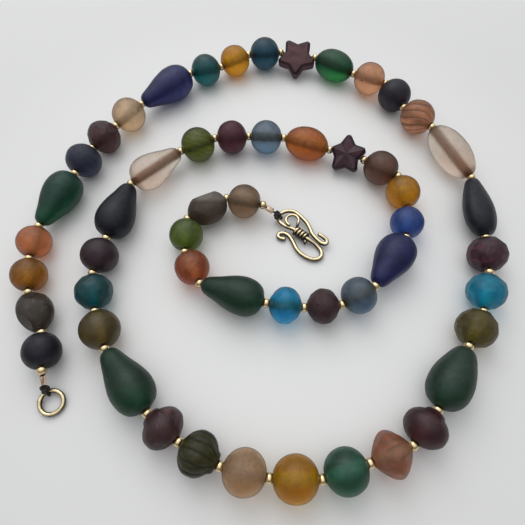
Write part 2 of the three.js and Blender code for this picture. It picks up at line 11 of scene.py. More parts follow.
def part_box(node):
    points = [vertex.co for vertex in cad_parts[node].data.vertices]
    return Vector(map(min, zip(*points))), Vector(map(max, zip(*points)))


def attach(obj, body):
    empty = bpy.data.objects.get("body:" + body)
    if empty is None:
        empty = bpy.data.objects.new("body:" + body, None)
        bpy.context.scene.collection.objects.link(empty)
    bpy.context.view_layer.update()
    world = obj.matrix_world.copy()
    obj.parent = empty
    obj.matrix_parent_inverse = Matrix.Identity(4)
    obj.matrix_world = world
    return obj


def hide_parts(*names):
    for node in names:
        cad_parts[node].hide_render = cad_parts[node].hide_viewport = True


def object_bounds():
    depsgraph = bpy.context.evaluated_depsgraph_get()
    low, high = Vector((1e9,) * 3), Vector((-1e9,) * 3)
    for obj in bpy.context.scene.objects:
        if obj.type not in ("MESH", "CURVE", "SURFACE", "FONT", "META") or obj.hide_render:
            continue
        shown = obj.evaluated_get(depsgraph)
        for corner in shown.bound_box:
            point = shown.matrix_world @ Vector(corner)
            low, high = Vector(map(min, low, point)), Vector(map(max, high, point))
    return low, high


bl_info = {
    "name": "Beaded Necklace",
    "version": (1, 0, 0),
    "blender": (4, 5, 0),
    "location": "3D View > Sidebar > Necklace",
    "description": "Makes a laid bead necklace with its thread, balls, hook and ring",
    "category": "Add Mesh",
}

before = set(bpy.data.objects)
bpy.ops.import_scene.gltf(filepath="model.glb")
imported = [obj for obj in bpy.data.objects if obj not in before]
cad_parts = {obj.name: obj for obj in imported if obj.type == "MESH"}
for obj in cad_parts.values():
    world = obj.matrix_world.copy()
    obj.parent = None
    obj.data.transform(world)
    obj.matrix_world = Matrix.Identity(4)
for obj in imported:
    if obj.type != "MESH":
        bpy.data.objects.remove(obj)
CAD_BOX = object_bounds()
MM = 0.001

# Where the photograph was taken from, above and in front of the necklace.
VIEW_POINT = Vector((0.43, -86.1, 136.9)) * MM
VIEW_TILT = math.radians(27.33)
VIEW_LENS = 30.86
SURFACE_REACH = 1.5
BACK_LIGHT_PLACE = (-0.12, 0.36, 0.5)

# A ball's points lie within BALL_REACH of each other, and each ball parts two beads by BEAD_GAP.
BEAD_NODES = sorted(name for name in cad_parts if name.startswith("bead_"))
BEAD_GAP = 1.9 * MM
BALL_REACH = 3.4 * MM

# The hook's wire from its right tip to its left one, in millimetres from the laid route's origin.
HOOK_ROUTE = [
    (19.3, -5.4, 2.4), (21, -6.6, 2.3), (22.2, -7.8, 2.1), (22.1, -9.1, 1.9), (20.8, -8.9, 1.7),
    (18.8, -7, 1.7), (17.4, -4.9, 1.7), (16.7, -2.7, 1.7), (15.8, -0.6, 1.7), (14.4, 1.3, 1.7),
    (13, 2.9, 1.7), (11.5, 4.1, 1.7), (9.7, 4.5, 1.7), (7.9, 4.1, 1.7), (6.4, 3.1, 1.7),
    (5.8, 1.7, 1.7), (6.1, 0.2, 1.7), (7.1, -1.1, 1.8), (8.5, -2.1, 1.85), (10, -2.8, 1.9),
    (11.4, -3.6, 1.9), (13.5, -5.3, 1.9), (15.6, -7, 1.9),
    (16.9, -7.9, 1.6), (18.5, -8.9, 1), (19.7, -10.2, 0.7), (20.4, -11.8, 0.7), (20.2, -13.4, 0.7),
    (19.1, -14.4, 0.7), (17.4, -14.6, 0.7), (15.6, -14, 0.7), (13.5, -12.6, 0.7), (11.9, -10.6, 0.7),
    (10.9, -8.2, 0.7), (10, -6.2, 0.7), (8.9, -4.8, 0.7), (7.3, -4.1, 0.7), (5.9, -4.5, 0.7),
    (5.7, -5.7, 0.7), (6.8, -6.4, 0.7), (8.3, -6.6, 0.7),
]

# The route's point that the thread is tied round, and the shank that the second wire is wound on.
HOOK_TIE = 15
SHANK_START = Vector((11.4, -3.6, 1.9))
SHANK_END = Vector((15.6, -7, 1.9))
EYE_CENTRE = Vector((10.6, -0.3, 3.1))
WRAP_END = Vector((14.7, -9.2, 1))

# Wires, thread and gaps in millimetres. Hook and ring look thicker than their solids by WORN_THICKER.
HOOK_WIRE = 1.3
WORN_THICKER = 0.07
WRAP_WIRE = 1.05
WRAP_TURNS = 4.5
EYE_DIAMETER = 5.5
RING_TIE_ANGLE = math.radians(118)
RING_RADIUS = 3.4
RING_WIRE = 1.2
RING_TILT = 0.11
THREAD = 0.7
KNOT_LIFT = 1.15
LAST_BALL_SHIFT = 0.45 * MM
BALL_LENGTH_SHARE = 0.92
LOOP_GAP = 0.2
COIL_GAP = 0.12

# How fine the grain of the glass is, in waves to the metre.
CLOUDS = 300
GRAIN = 1500
BUBBLES = 700
TUMBLING = 1100

# The glasses, as they look over a lit surface. Colours: the body, painted light low down where light
# gathers, the band of the thread's hole, the stain at its mouths, veins, painted light on top, and
# painted shade in the valleys of ribs and on the sloping edges of stars. Shares: murk, the light that
# the body itself scatters, stripes, bubbles, pits, mottle and rim. A glass with a shape or a number in
# its name belongs to that shape or that one bead.
GLASSES = {
    "midnight": dict(body="1E1B24", murk=0.4),
    "smoke": dict(body="725D48", painted_glow="6A523B", band="65503C", stain="3A2C24"),
    "smoke_nugget": dict(body="38312B", vein="5E5242", murk=0.35),
    "amber_brown": dict(body="8A5A10", painted_glow="74450A", stain="3B2510", stripes=0.5),
    "rust": dict(body="9C5F39", painted_glow="8C4D2C", stain="5A3423"),
    "bottle_green": dict(body="10372A", painted_glow="0F3D29", murk=0.3),
    "navy": dict(body="292C3A", painted_glow="292B40", murk=0.4),
    "plum_brown": dict(body="3F2A2C", pits=0.5, murk=0.35),
    "plum_brown_lantern": dict(body="3F292B", vein="6B4A50", murk=0.3),
    "beige": dict(body="9E866C", painted_glow="967E5D", stain="7A5433"),
    "indigo": dict(body="222650", painted_glow="1C1E4A", murk=0.3),
    "teal": dict(body="053E40", painted_glow="024246"),
    "amber": dict(body="9C6C02", painted_glow="8E5C03", stain="8A5314"),
    "petrol": dict(body="0C3241", painted_glow="062937"),
    "maroon": dict(body="513538", painted_glow="3A252C", vein="653A40", groove_shade_colour="21151A", murk=0.45),
    "emerald": dict(body="083F24", painted_glow="046627", band="0D2818", stain="16261B"),
    "peach": dict(body="9F7355", painted_glow="A07456", band="93664A", stain="A8602F", speck=(-0.27, 0.21)),
    "aubergine": dict(body="232027", murk=0.4),
    "umber": dict(body="9A6A4E", groove_shade_colour="23130C"),
    "clear": dict(body="BCABA0", painted_glow="AD9D90", band="75492A", stain="5A3820",
                  bubbles=0.8, mottle=0.5, rim=0.75),
    "black_blue": dict(body="1B1E26", murk=0.38),
    "wine": dict(body="38262C", painted_glow="301A20", vein="6A2838", murk=0.25),
    "turquoise": dict(body="037892", painted_glow="036678", pits=0.4),
    "olive": dict(body="544914", painted_glow="473F0B", pits=0.3),
    "forest": dict(body="193226", painted_glow="143725", murk=0.33),
    "forest_egg": dict(body="20352B", painted_glow="1A3325", murk=0.35),
    "dark_plum": dict(body="44222B", murk=0.35),
    "dark_plum_34": dict(body="31242A", murk=0.35),
    "dark_plum_lantern": dict(body="3E2327", painted_glow="38161C", murk=0.25),
    "copper": dict(body="85604A", vein="B05A38", stain="A0603F"),
    "sea_green": dict(body="285A47", painted_glow="185640", vein="1F3F34"),
    "honey": dict(body="A27A01", painted_glow="9A7201", band="8E6600"),
    "quartz": dict(body="A28B70", painted_glow="9E8362", band="7A5C44", bubbles=1.0),
    "dark_olive": dict(body="333115", groove_shade_colour="15150A", murk=0.35),
    "khaki": dict(body="52441D", painted_glow="42330D", vein="6B5A2A"),
    "deep_teal": dict(body="03464B", painted_glow="023C41", pits=0.35),
    "moss": dict(body="4C5413", painted_glow="364115", stripes=0.9),
    "slate_blue": dict(body="54616D", painted_glow="3E5C73", band="3F4444", stain="3A3835"),
    "orange": dict(body="8B4E1D", painted_glow="73350F", vein="A0621E", stain="8A5A26"),
    "purple": dict(body="412C33", vein="5C3B4C", groove_shade_colour="17101A", murk=0.35),
    "cocoa": dict(body="52382C", painted_glow="44291D"),
    "cocoa_nugget": dict(body="463B32", painted_top_light="6A635C", painted_glow="372D25", murk=0.35),
    "blue": dict(body="2B4786", painted_glow="2A4A8C", stain="24386E"),
    "bright_blue": dict(body="0280A4", painted_glow="0387AA", band="0F464F", pits=0.3),
    "brick": dict(body="9B5732", painted_glow="934923", stripes=0.45),
    "green": dict(body="4B5A1D", painted_glow="394916", vein="67742E"),
}

# Long beads' outlines: shares of the length and of half the width. The ends lie on the bore.
OUTLINES = {
    "teardrop": [(0, 0), (0.04, 0.39), (0.26, 0.66), (0.46, 0.89), (0.65, 1), (0.82, 0.92),
                 (0.94, 0.66), (1, 0)],
    "egg": [(0, 0), (0.06, 0.46), (0.26, 0.75), (0.45, 0.94), (0.62, 1), (0.8, 0.92), (0.94, 0.64),
            (1, 0)],
    "lantern": [(0, 0), (0.02, 0.42), (0.1, 0.52), (0.22, 0.78), (0.37, 0.96), (0.52, 1), (0.68, 0.96),
                (0.88, 0.68), (1, 0)],
    "bicone": [(0, 0), (0.12, 0.52), (0.32, 0.88), (0.5, 1), (0.68, 0.88), (0.88, 0.52), (1, 0)],
}

# How full a turned bead's shoulders are: the power that its half circle is drawn with.
FULLNESS = {"round": 0.9, "oval": 0.95, "long": 0.92, "faceted": 0.9, "melon": 0.9, "nugget": 0.95}
SHAPE_WORDS = ("flat_teardrop", "teardrop", "round", "faceted", "oval", "long", "egg", "lantern",
               "bicone", "nugget", "melon", "star")

# Ground flats of a faceted bead: how many, on the plum ones and on the others, and how far out.
PLUM_FLATS = 90
FACET_FLATS = 56
FACET_DEPTH = 0.965
# Vector noise starts from a seed that Blender takes from the clock, so the flats set their own.
FLATS_SEED = 1
BICONE_SIDES = 10
PRESSED_SHARE = 0.73
PRESSED_ROLL = math.radians(-35)
GOLDEN_TURN = 2.39996

# Ribs: how many, how deep their valleys are, how far they twist and how narrow the valleys are.
MELON_RIBS = (12, 0.14, 0.6, 3.6)
LANTERN_RIBS = (12, 0.07, 0.1, 2.6)

# The flats worn on the two nuggets: which way each faces, and how far out it lies.
NUGGET_FLATS = {
    1: [((0.6, -0.5, 0.6), 0.86), ((-0.5, 0.7, 0.5), 0.88)],
    51: [((0.1, 0.75, 0.6), 0.8), ((0.05, 0.2, 0.98), 0.9), ((-0.7, -0.6, 0.3), 0.9)],
}

# The stars: how far each is turned in its own plane, its middle beside the thread in millimetres,
# and how steeply its arms fall away from their ridges. Within STAR_CORE of its middle plane they don't.
STARS = {
    12: (-13, (-0.2, -1.5), 0.0),
    40: (172.5, (0, 0), 0.34),
}
STAR_STEP = math.radians(72)
STAR_CORE = 1.5 * MM
STAR_HOLE = 1.5 * MM
NUGGET_LOBE = 0.08


def share_setting(name, description, default):
    return bpy.props.FloatProperty(
        name=name, description=description, default=default, min=0, max=1, subtype="FACTOR"
    )


def length_setting(name, description, default):
    return bpy.props.FloatProperty(name=name, description=description, default=default, unit="LENGTH")


def colour_setting(name, description, default):
    return bpy.props.FloatVectorProperty(
        name=name, description=description, default=default, subtype="COLOR", min=0, max=1
    )


class NecklaceGlass(bpy.types.PropertyGroup):
    """Finish of the frosted glass"""

    roughness: share_setting("Frosting", "How rough the tumbled glass is", 0.4)
    gain: bpy.props.FloatProperty(
        name="Body Gain", description="How much light the glass lets through", default=2.0, min=0.2, max=4
    )
    clarity: share_setting("Clarity", "How much of the glass is seen through", 1.0)
    rim: share_setting("Dark Rim", "How dark the glass turns at its edge", 0.72)
    bore: length_setting("Bore", "Diameter of the hole for the thread", 2.6 * MM)
    unevenness: length_setting("Unevenness", "How far a bead's surface wanders", 0.12 * MM)


class NecklaceMetal(bpy.types.PropertyGroup):
    """Metals of the balls, the crimps, the hook and the ring"""

    ball_diameter: length_setting("Ball", "Diameter of a gold ball", 3 * MM)
    gold: colour_setting("Gold", "Colour of the balls", (0.95, 0.74, 0.42))
    copper: colour_setting("Crimp", "Colour of the crimps", (0.95, 0.7, 0.53))
    brass: colour_setting("Brass", "Colour of the worn brass", (0.88, 0.72, 0.45))


class NecklaceStage(bpy.types.PropertyGroup):
    """Surface and light"""

    surface: colour_setting("Surface", "Colour of the surface", (0.78, 0.775, 0.765))
    back_light: bpy.props.FloatProperty(
        name="Back Light", description="Power of the large light behind", default=0.9, unit="POWER"
    )
    sky: bpy.props.FloatProperty(name="Sky", description="Strength of the even light", default=0.755, min=0)


def linear(code):
    """A colour written as RRGGBB, as scene-linear numbers."""
    values = [int(code[i : i + 2], 16) / 255 for i in (0, 2, 4)]
    return [v / 12.92 if v <= 0.04045 else ((v + 0.055) / 1.055) ** 2.4 for v in values]


def string_junctions():
    """The middle of each gold ball, in order, from the ring's end to the hook's end."""
    points = [v.co.copy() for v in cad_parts["string"].data.vertices]
    groups = []
    for point in points:
        for group in groups:
            if (group[0] - point).length < BALL_REACH:
                group.append(point)
                break
        else:
            groups.append([point])
    middles = []
    for group in groups:
        seen = {tuple(round(c * 1e6) for c in p): p for p in group}
        middles.append(sum(seen.values(), Vector()) / len(seen))
    boxes = [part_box(name) for name in BEAD_NODES]
    centres = [(low + high) / 2 for low, high in boxes]
    places = []
    for here, there in zip(centres, centres[1:]):
        share = (here + there) / 2
        places.append(min(middles, key=lambda m: (m - share).length))
    for end, inner in ((centres[0], places[0]), (centres[-1], places[-1])):
        far = end * 2 - inner
        outer = min(middles, key=lambda m: (m - far).length)
        places = [outer] + places if end is centres[0] else places + [outer]
    return places


def smooth_path(points, steps):
    """Points on a smooth curve through the given ones, which doesn't overshoot between them."""
    points = [Vector(p) for p in points]
    ends = [points[0] * 2 - points[1]] + points + [points[-1] * 2 - points[-2]]
    path = []
    for i in range(1, len(ends) - 2):
        a, b, c, d = ends[i - 1 : i + 3]
        ta = 0.0
        tb = ta + max((b - a).length, 1e-9) ** 0.5
        tc = tb + max((c - b).length, 1e-9) ** 0.5
        td = tc + max((d - c).length, 1e-9) ** 0.5
        for k in range(steps):
            t = tb + (tc - tb) * k / steps
            ab = a * ((tb - t) / (tb - ta)) + b * ((t - ta) / (tb - ta))
            bc = b * ((tc - t) / (tc - tb)) + c * ((t - tb) / (tc - tb))
            cd = c * ((td - t) / (td - tc)) + d * ((t - tc) / (td - tc))
            abc = ab * ((tc - t) / (tc - ta)) + bc * ((t - ta) / (tc - ta))
            bcd = bc * ((td - t) / (td - tb)) + cd * ((t - tb) / (td - tb))
            path.append(abc * ((tc - t) / (tc - tb)) + bcd * ((t - tb) / (tc - tb)))
    path.append(points[-1])
    return path


def tube(path, radius_at, sides, closed=False):
    """Vertices and faces of a tube along a path, turned as little as possible on the way."""
    count = len(path)
    tangents = []
    for i in range(count):
        before = path[i - 1] if closed or i else path[0]
        after = path[(i + 1) % count] if closed or i < count - 1 else path[-1]
        tangents.append((after - before).normalized())
    side = tangents[0].orthogonal().normalized()
    vertices = []
    faces = []
    for i, (point, along) in enumerate(zip(path, tangents)):
        side = (side - along * side.dot(along)).normalized()
        other = along.cross(side)
        radius = radius_at(i / (count - 1))
        for k in range(sides):
            angle = 2 * math.pi * k / sides
            vertices.append(point + side * (radius * math.cos(angle)) + other * (radius * math.sin(angle)))
    for i in range(count if closed else count - 1):
        low = i * sides
        high = ((i + 1) % count) * sides
        for k in range(sides):
            following = (k + 1) % sides
            faces.append((low + k, low + following, high + following, high + k))
    if not closed:
        faces.append(tuple(reversed(range(sides))))
        last = (count - 1) * sides
        faces.append(tuple(range(last, last + sides)))
    return vertices, faces


def new_piece(name, vertices, faces, material, smooth=True):
    """A finished object in the row's frame, from vertices in metres."""
    mesh = bpy.data.meshes.new(name)
    mesh.from_pydata([tuple(v) for v in vertices], [], faces)
    mesh.materials.append(material)
    shell = bmesh.new()
    shell.from_mesh(mesh)
    bmesh.ops.recalc_face_normals(shell, faces=shell.faces)
    shell.to_mesh(mesh)
    shell.free()
    mesh.polygons.foreach_set("use_smooth", [smooth] * len(mesh.polygons))
    mesh.update()
    piece = bpy.data.objects.new(name, mesh)
    bpy.context.scene.collection.objects.link(piece)
    return piece


def above_surface(vertices):
    """The same points, with none below the surface that the necklace lies on."""
    return [Vector((p.x, p.y, max(p.z, CAD_BOX[0][2]))) for p in vertices]


def mark_tarnish_and_shade(piece, coil=None):
    """Marks where the metal is darkened: painted shade with some dark oxide on the sides and underneath,
    and dark oxide and painted shade between the turns of a wound wire.
    """
    depths = []
    for vertex in piece.data.vertices:
        # Painted shade: the less a point faces up towards the light, the darker it is marked.
        depth = 0.5 - 0.5 * vertex.normal.dot(Vector((0, -0.2, 0.98)))
        if coil:
            start, end, reach = coil
            along = (end - start).normalized()
            share = (vertex.co - start).dot(along)
            if 0 < share < (end - start).length:
                outward = vertex.co - start - along * share
                depth = max(depth, 1 - (outward.length - reach * 0.62) / (reach * 0.34))
        depths.append(depth)
    store(piece, "tarnish_and_shade", depths)


def store(piece, name, values, kind="FLOAT"):
    """Keeps one number, or one vector, for each vertex of a piece."""
    attribute = piece.data.attributes.new(name, kind, "POINT")
    attribute.data.foreach_set("value" if kind == "FLOAT" else "vector", values)


def solid_copy(name, node, material, flatness):
    """A piece made from a node's solid, with whole flat faces, and the way its widest top faces."""
    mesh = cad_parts[node].data.copy()
    mesh.materials.clear()
    mesh.materials.append(material)
    piece = bpy.data.objects.new(name, mesh)
    bpy.context.scene.collection.objects.link(piece)
    shell = bmesh.new()
    shell.from_mesh(mesh)
    bmesh.ops.remove_doubles(shell, verts=shell.verts, dist=1e-6)
    bmesh.ops.dissolve_limit(shell, angle_limit=flatness, verts=shell.verts, edges=shell.edges)
    shell.faces.ensure_lookup_table()
    facing = max(shell.faces, key=lambda face: face.calc_area() * (face.normal.z > 0)).normal.copy()
    shell.to_mesh(mesh)
    shell.free()
    return piece, facing


def rounded_tube(path, radius, sides):
    """A tube along a path, rounded off at both ends."""
    length = sum((b - a).length for a, b in zip(path, path[1:]))

    def rounded(t):
        edge = min(t, 1 - t) * length
        return radius * math.sqrt(max(1 - max(1 - edge / radius, 0) ** 2, 0.02))

    return tube(path, rounded, sides)


def hand_over(piece, node):
    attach(piece, "root")
    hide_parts(node)


class Painter:
    """Builds one node tree from left to right."""

    def __init__(self, name):
        self.material = bpy.data.materials.new(name)
        self.material.use_nodes = True
        self.tree = self.material.node_tree
        self.shader = self.tree.nodes["Principled BSDF"]
        self.column = 0

    def add(self, kind, **values):
        node = self.tree.nodes.new(kind)
        self.column += 1
        node.location = (-1800 + 180 * (self.column % 10), 320 * (self.column // 10) - 400)
        for key, value in values.items():
            setattr(node, key, value)
        return node

    def link(self, output, target):
        self.tree.links.new(output, target)

    def set(self, socket, value):
        if isinstance(value, bpy.types.NodeSocket):
            self.link(value, socket)
        else:
            socket.default_value = value

    def math(self, operation, a, b=0.0, clamp=False):
        node = self.add("ShaderNodeMath", operation=operation, use_clamp=clamp)
        self.set(node.inputs[0], a)
        self.set(node.inputs[1], b)
        return node.outputs[0]

    def slope(self, value, low, high):
        node = self.add("ShaderNodeMapRange", interpolation_type="SMOOTHSTEP")
        self.set(node.inputs["Value"], value)
        node.inputs["From Min"].default_value = low
        node.inputs["From Max"].default_value = high
        return node.outputs["Result"]

    def blend(self, factor, a, b, mode="MIX"):
        node = self.add("ShaderNodeMix", data_type="RGBA", blend_type=mode)
        self.set(node.inputs[0], factor)
        self.set(node.inputs[6], a)
        self.set(node.inputs[7], b)
        return node.outputs[2]

    def noise(self, vector, scale, detail=3.0, roughness=0.5, distortion=0.0):
        node = self.add("ShaderNodeTexNoise")
        self.link(vector, node.inputs["Vector"])
        node.inputs["Scale"].default_value = scale
        node.inputs["Detail"].default_value = detail
        node.inputs["Roughness"].default_value = roughness
        node.inputs["Distortion"].default_value = distortion
        return node.outputs[0]

    def attribute(self, name, output="Fac"):
        return self.add("ShaderNodeAttribute", attribute_name=name).outputs[output]

    def tinted(self, colour, mask, strength, other):
        """The colour, turned towards another by a share of the mask."""
        return self.blend(self.math("MULTIPLY", mask, strength), colour, other)

    def rough(self, value, low, high):
        node = self.add("ShaderNodeMapRange")
        self.link(value, node.inputs["Value"])
        node.inputs["To Min"].default_value = low
        node.inputs["To Max"].default_value = high
        self.link(node.outputs[0], self.shader.inputs["Roughness"])

    def place(self):
        return self.add("ShaderNodeTexCoord").outputs["Object"]

    def bump(self, height, strength, distance):
        node = self.add("ShaderNodeBump")
        self.link(height, node.inputs["Height"])
        node.inputs["Strength"].default_value = strength
        node.inputs["Distance"].default_value = distance
        self.link(node.outputs[0], self.shader.inputs["Normal"])


def opaque(colour, gain=1.0):
    return (*[min(c * gain, 1.0) for c in colour], 1.0)


def seen_through(code, gain):
    """The tint of a glass that looks like the given colour over the lit surface."""
    return opaque(linear(code), gain)


def frosted_glass(name, settings):
    """Tumbled glass: cloudy body, painted light low down, the tinted hole seen through it and a dark rim.
    """
    look = GLASSES[name]
    gain = settings.gain
    paint = Painter("frosted_" + name)
    parts = paint.add("ShaderNodeSeparateXYZ")
    paint.link(paint.attribute("bead_view", "Vector"), parts.inputs[0])
    height, aside, along = parts.outputs
    local = paint.attribute("bead_place", "Vector")
    where = paint.place()
    body = seen_through(look["body"], gain)
    cloud = paint.slope(paint.noise(where, CLOUDS, 5, 0.62), 0.3, 0.72)
    mottle = look.get("mottle", 1.0)
    dark = [c * (1 - 0.27 * mottle) for c in body[:3]]
    light = [min(c * (1 + 0.32 * mottle), 1) for c in body[:3]]
    colour = paint.blend(cloud, (*dark, 1), (*light, 1))
    grain = paint.slope(paint.noise(where, GRAIN, 3, 0.7), 0.5, 0.72)
    colour = paint.tinted(colour, grain, 0.6 * mottle, opaque(dark, 0.58))
    if "vein" in look:
        streak = paint.slope(paint.noise(local, 1.1, 3, 0.6, 1.6), 0.5, 0.62)
        colour = paint.tinted(colour, streak, 0.7, seen_through(look["vein"], gain))
    # Painted light: the top of the bead, as the camera sees it, turns towards a lighter colour that stands
    # for light falling on it.
    if "painted_top_light" in look:
        painted_top_light_mask = paint.slope(height, 0.3, 0.62)
        colour = paint.blend(painted_top_light_mask, colour, seen_through(look["painted_top_light"], gain))
    # Painted light: low down, as the camera sees the bead, the colour turns towards a brighter tint that
    # stands for light passing through the glass and gathering there.
    if "painted_glow" in look:
        painted_glow_mask = paint.slope(height, 0.0, -0.8)
        colour = paint.blend(painted_glow_mask, colour, seen_through(look["painted_glow"], gain * 1.2))
    if "stain" in look:
        ends = paint.slope(paint.math("ABSOLUTE", along), 0.78, 1.0)
        colour = paint.tinted(colour, ends, 0.8, seen_through(look["stain"], gain))
    if "stripes" in look:
        streak = paint.add("ShaderNodeTexWave", wave_type="BANDS", bands_direction="DIAGONAL")
        paint.link(local, streak.inputs["Vector"])
        for key, value in (("Scale", 1.3), ("Distortion", 7.0), ("Detail", 3.0), ("Detail Scale", 1.6)):
            streak.inputs[key].default_value = value
        shade = paint.tinted((1, 1, 1, 1), streak.outputs["Fac"], look["stripes"], (0.6, 0.55, 0.45, 1))
        colour = paint.blend(1.0, colour, shade, "MULTIPLY")
    if "bubbles" in look:
        specks = paint.add("ShaderNodeTexVoronoi")
        paint.link(where, specks.inputs["Vector"])
        specks.inputs["Scale"].default_value = BUBBLES
        spots = paint.slope(specks.outputs["Distance"], 0.2, 0.12)
        colour = paint.tinted(colour, spots, look["bubbles"] * 0.5, (0.16, 0.11, 0.07, 1))
    if "speck" in look:
        across = paint.math("SUBTRACT", aside, look["speck"][1])
        beyond = paint.math("SUBTRACT", along, look["speck"][0])
        squares = [paint.math("MULTIPLY", part, part) for part in (across, beyond)]
        away = paint.math("ADD", *squares)
        colour = paint.blend(paint.slope(away, 0.004, 0.001), colour, (0.02, 0.008, 0.004, 1))
    # Painted shade: the valleys of the ribs and the sloping edges of the stars turn towards a dark colour.
    if "groove_shade_colour" in look:
        groove_shade = seen_through(look["groove_shade_colour"], gain * 0.8)
        colour = paint.tinted(colour, paint.attribute("groove_shade"), 0.92, groove_shade)
    edge = paint.add("ShaderNodeLayerWeight")
    edge.inputs["Blend"].default_value = 0.5
    rim = paint.slope(edge.outputs["Facing"], 0.55, 0.88)
    deep = 1 - settings.rim * look.get("rim", 1.0)
    colour = paint.blend(rim, colour, paint.blend(1.0, colour, (deep, deep, deep, 1), "MULTIPLY"))
    wall = paint.attribute("hole_wall")
    bare = linear(look["body"])
    band = linear(look["band"]) if "band" in look else [c * 0.95 for c in bare]
    seen = [min(a / b * 0.72, 0.8) for a, b in zip(band, bare)]
    colour = paint.blend(wall, colour, (*seen, 1))
    paint.link(colour, paint.shader.inputs["Base Color"])
    paint.rough(paint.noise(where, 420, 4, 0.6), settings.roughness - 0.1, settings.roughness + 0.12)
    tumbled = paint.noise(where, TUMBLING, 5, 0.7)
    paint.bump(tumbled, 0.35 + look.get("pits", 0.0), 0.00025)
    paint.shader.inputs["Specular IOR Level"].default_value = 0.09
    paint.shader.inputs["IOR"].default_value = 1.45
    share = settings.clarity * (1 - look.get("murk", 0.08))
    through = paint.math("MULTIPLY", paint.math("SUBTRACT", 1.0, wall), share)
    paint.link(through, paint.shader.inputs["Transmission Weight"])
    return paint.material


def metal(name, colour, roughness, tarnish_and_shade_share=0.0, tarnish_and_shade_colour=(0.03, 0.022, 0.012, 1), low=0.04, high=0.2):
    """Bright on top; darkened with dark oxide and painted shade in its hollows, down its sides and
    underneath.
    """
    paint = Painter(name)
    where = paint.place()
    fine = paint.noise(where, 1400, 3, 0.6)
    base = (*colour, 1)
    shade = paint.blend(paint.slope(fine, 0.35, 0.75), base, opaque(colour, 0.82))
    # Painted shade with dark oxide: the marked sides, undersides and gaps turn towards a dark colour.
    if tarnish_and_shade_share:
        tarnish_and_shade = paint.attribute("tarnish_and_shade")
        uneven = paint.math("MULTIPLY", paint.math("SUBTRACT", paint.noise(where, 700, 4, 0.65), 0.5), 0.35)
        worn = paint.slope(paint.math("ADD", tarnish_and_shade, uneven), low, high)
        shade = paint.tinted(shade, worn, tarnish_and_shade_share, tarnish_and_shade_colour)
    paint.link(shade, paint.shader.inputs["Base Color"])
    paint.rough(fine, roughness * 0.75, roughness * 1.3)
    paint.shader.inputs["Metallic"].default_value = 1.0
    paint.bump(fine, 0.15, 0.0001)
    return paint.material


def black_thread():
    paint = Painter("black_thread")
    where = paint.place()
    twist = paint.noise(where, 1800, 2, 0.5)
    shade = paint.blend(twist, (0.006, 0.006, 0.005, 1), (0.035, 0.033, 0.028, 1))
    paint.link(shade, paint.shader.inputs["Base Color"])
    paint.shader.inputs["Roughness"].default_value = 0.75
    paint.bump(twist, 0.5, 0.0003)
    return paint.material


class Bead:
    """One bead's place, sizes and directions, read from its solid and from the balls beside it."""

    def __init__(self, index, junctions):
        self.node = BEAD_NODES[index]
        self.index = index
        words = self.node.split("_", 2)[2]
        self.shape = next(s for s in SHAPE_WORDS if words.endswith(s))
        self.glass = words[: -len(self.shape) - 1]
        start, end = junctions[index], junctions[index + 1]
        self.centre = (start + end) / 2
        self.axis = (end - start).normalized()
        self.across = Vector((0, 0, 1)).cross(self.axis).normalized()
        self.up = self.axis.cross(self.across)
        self.half_length = ((end - start).length - BEAD_GAP) / 2
        points = [v.co - self.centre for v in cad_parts[self.node].data.vertices]
        spread = [((p - self.axis * p.dot(self.axis)).length, p) for p in points]
        self.half_width = max(radius for radius, _ in spread)
        near = max(r for r, p in spread if p.dot(self.axis) < -0.7 * self.half_length)
        far = max(r for r, p in spread if p.dot(self.axis) > 0.7 * self.half_length)
        self.turned = near > far
        camera = (VIEW_POINT - self.centre).normalized()
        self.aside = self.axis.cross(camera).normalized()
        rise = Vector((0, math.cos(VIEW_TILT), math.sin(VIEW_TILT)))
        self.rise = (rise - camera * rise.dot(camera)).normalized()

    def world(self, x, y, z):
        """A point beside the bead's middle, kept off the surface and inside the whole necklace's box."""
        low, high = CAD_BOX
        point = self.centre + self.axis * x + self.across * y + self.up * z
        return Vector(min(max(c, a), b) for c, a, b in zip(point, low, high))

    def local(self, point):
        """A point's way along, across and above the bead's middle."""
        offset = point - self.centre
        return offset.dot(self.axis), offset.dot(self.across), offset.dot(self.up)

    def mark(self, piece, wall_radius):
        """Gives the mesh the places that the glass is painted by, and marks the wall of its hole."""
        walls, views, places = [], [], []
        for vertex in piece.data.vertices:
            offset = vertex.co - self.centre
            x, y, z = self.local(vertex.co)
            seen = (offset.dot(self.rise), offset.dot(self.aside))
            views += [part / self.half_width for part in seen] + [x / self.half_length]
            places += [part / self.half_width for part in (x, y, z)]
            walls.append(1.0 if math.hypot(y, z) < wall_radius else 0.0)
        store(piece, "bead_view", views, "FLOAT_VECTOR")
        store(piece, "bead_place", places, "FLOAT_VECTOR")
        store(piece, "hole_wall", walls)


def ball_outline(bead, bore, steps=40):
    """Half a flattened circle cut at the bore, as places along and radii."""
    start = math.asin(min(bore / bead.half_width, 0.9))
    outline = []
    for i in range(steps + 1):
        angle = start + (math.pi - 2 * start) * i / steps
        radius = bead.half_width * math.sin(angle) ** FULLNESS[bead.shape]
        outline.append((-bead.half_length * math.cos(angle) / math.cos(start), max(radius, bore)))
    return outline


def drawn_outline(bead, bore, shape):
    """A long bead's outline, smoothed, with its fat end the way the solid's lies."""
    points = [
        (share * bead.half_length * 2, max(width * bead.half_width, bore), 0)
        for share, width in OUTLINES[shape]
    ]
    path = smooth_path(points, 7)
    outline = [(p.x - bead.half_length, min(max(p.y, bore), bead.half_width)) for p in path]
    if bead.turned:
        outline = [(-along, radius) for along, radius in reversed(outline)]
    return outline


